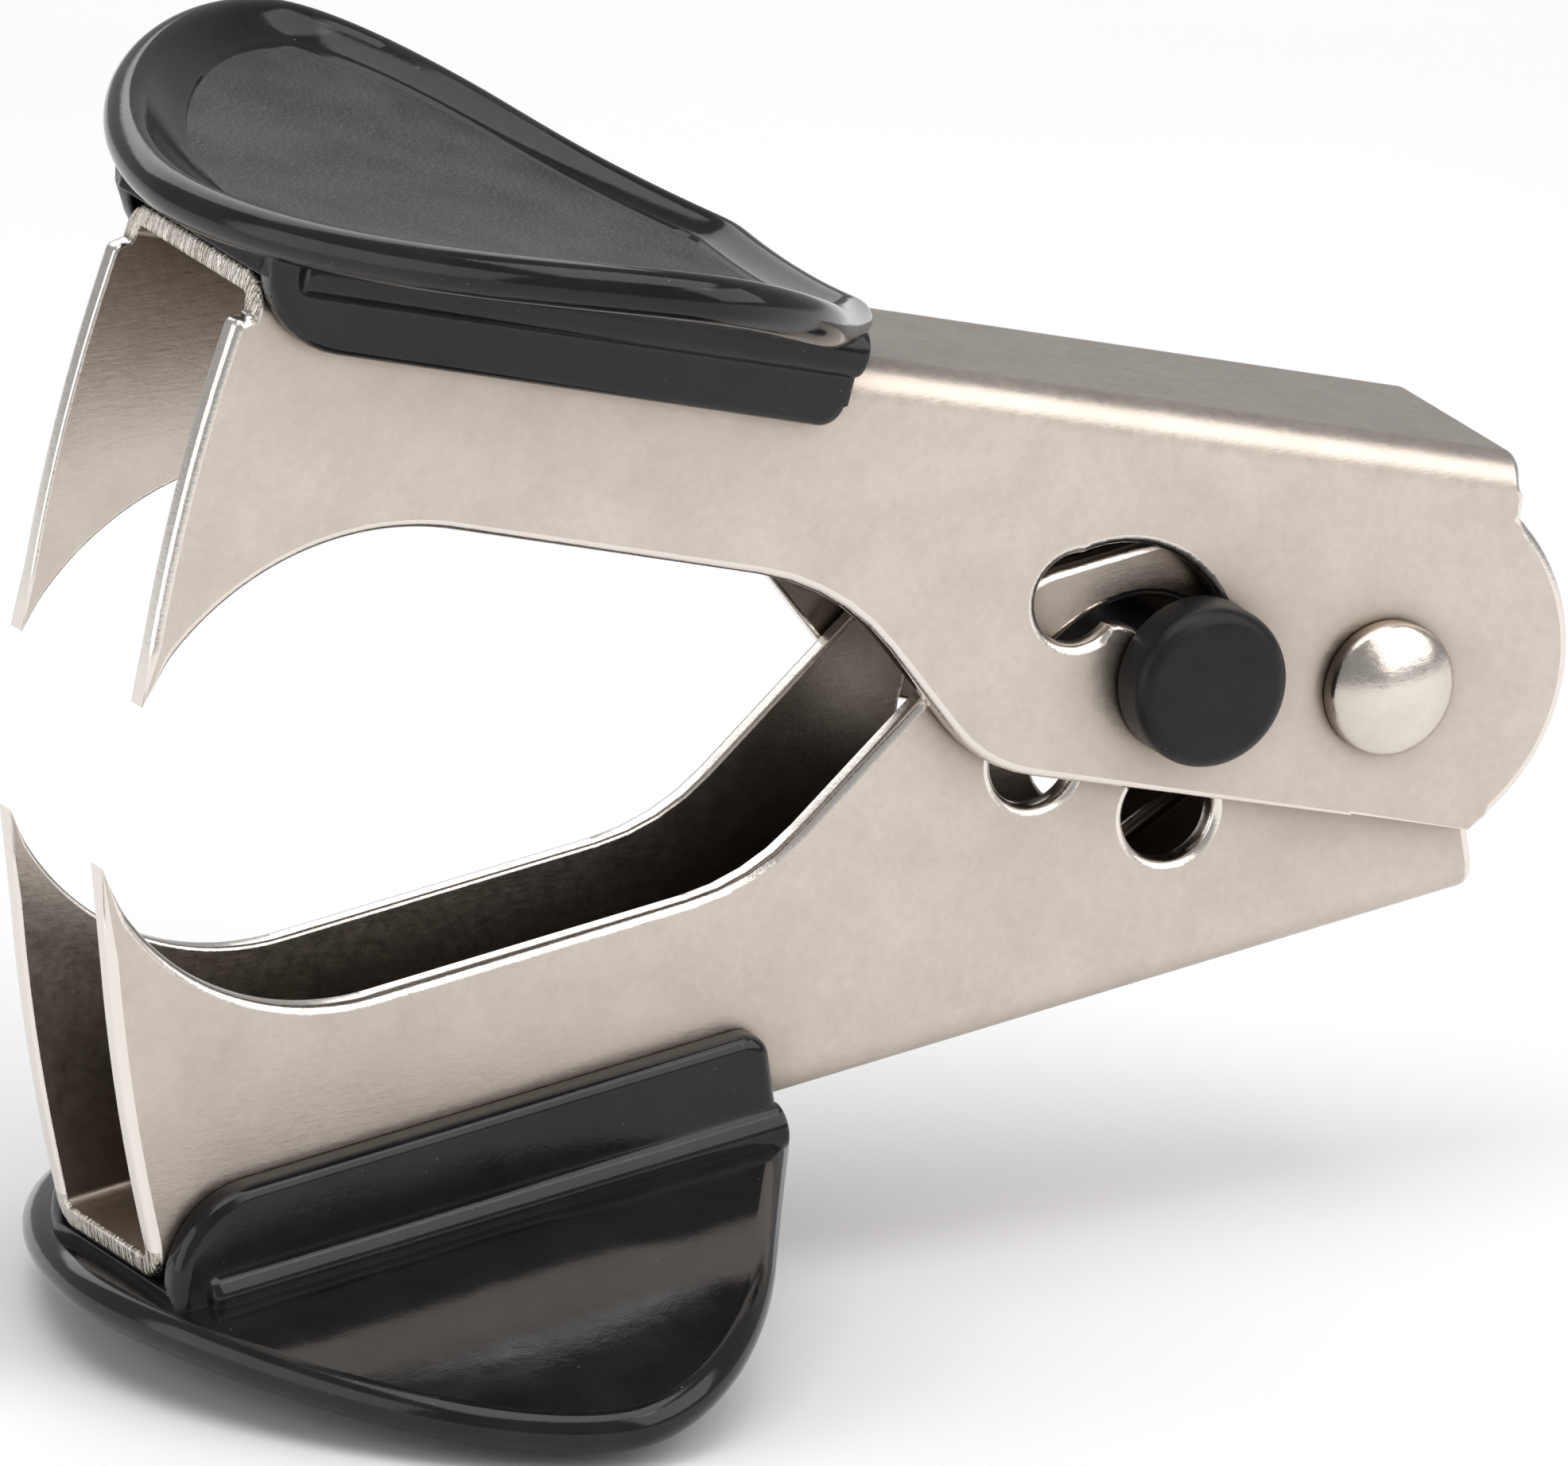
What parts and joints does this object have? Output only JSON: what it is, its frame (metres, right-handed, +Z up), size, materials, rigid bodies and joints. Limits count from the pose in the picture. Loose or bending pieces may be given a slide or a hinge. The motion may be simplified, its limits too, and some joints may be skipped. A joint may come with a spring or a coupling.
{
  "type": "staple remover",
  "caption": "Claw staple remover with nested pressed-steel jaws, sprung open, plastic thumb grips and a sliding lock button.",
  "frame": {"origin": "on the floor plane under the centre of the bounding box, with the jaws open", "axes": "+X along the tool from the teeth to the pivot end, +Y across the tool away from the lock button's shaft head, +Z up from the lower grip to the upper grip"},
  "size_m": [0.0606, 0.041, 0.0468],
  "materials": {
    "jaw_steel": "satin nickel-plated sheet steel",
    "grip_plastic": "black, glossy with a finely grained thumb panel",
    "rivet_steel": "polished nickel-plated steel",
    "spring_steel": "drawn spring wire",
    "lock_plastic": "black, satin"
  },
  "bodies": {
    "upper_jaw": {"upper_jaw": "jaw_steel", "upper_grip": "grip_plastic", "pivot_rivet": "rivet_steel", "torsion_spring": "spring_steel"},
    "lower_jaw": {"lower_jaw": "jaw_steel", "lower_grip": "grip_plastic"},
    "lock_slider": {"lock_pin": "lock_plastic", "lock_cap": "lock_plastic"}
  },
  "joints": [
    {"name": "jaw_hinge", "type": "hinge", "parent": "upper_jaw", "child": "lower_jaw", "pos_m": [0.02253, 0, 0.02115], "axis": [0, 1, 0], "range_deg": [0, 23.6], "stiffness_Nm_per_rad": 0.2, "springref_deg": -34.38, "deforming": ["torsion_spring"]},
    {"name": "lock_travel", "type": "hinge", "parent": "upper_jaw", "child": "lock_slider", "pos_m": [0.01124, 0, 0.02344], "axis": [0, -1, 0], "range_deg": [0, 130.7]}
  ],
  "couplings": [
    {"joint": "lock_travel", "follows": "jaw_hinge", "ratio": 5.5381}
  ]
}
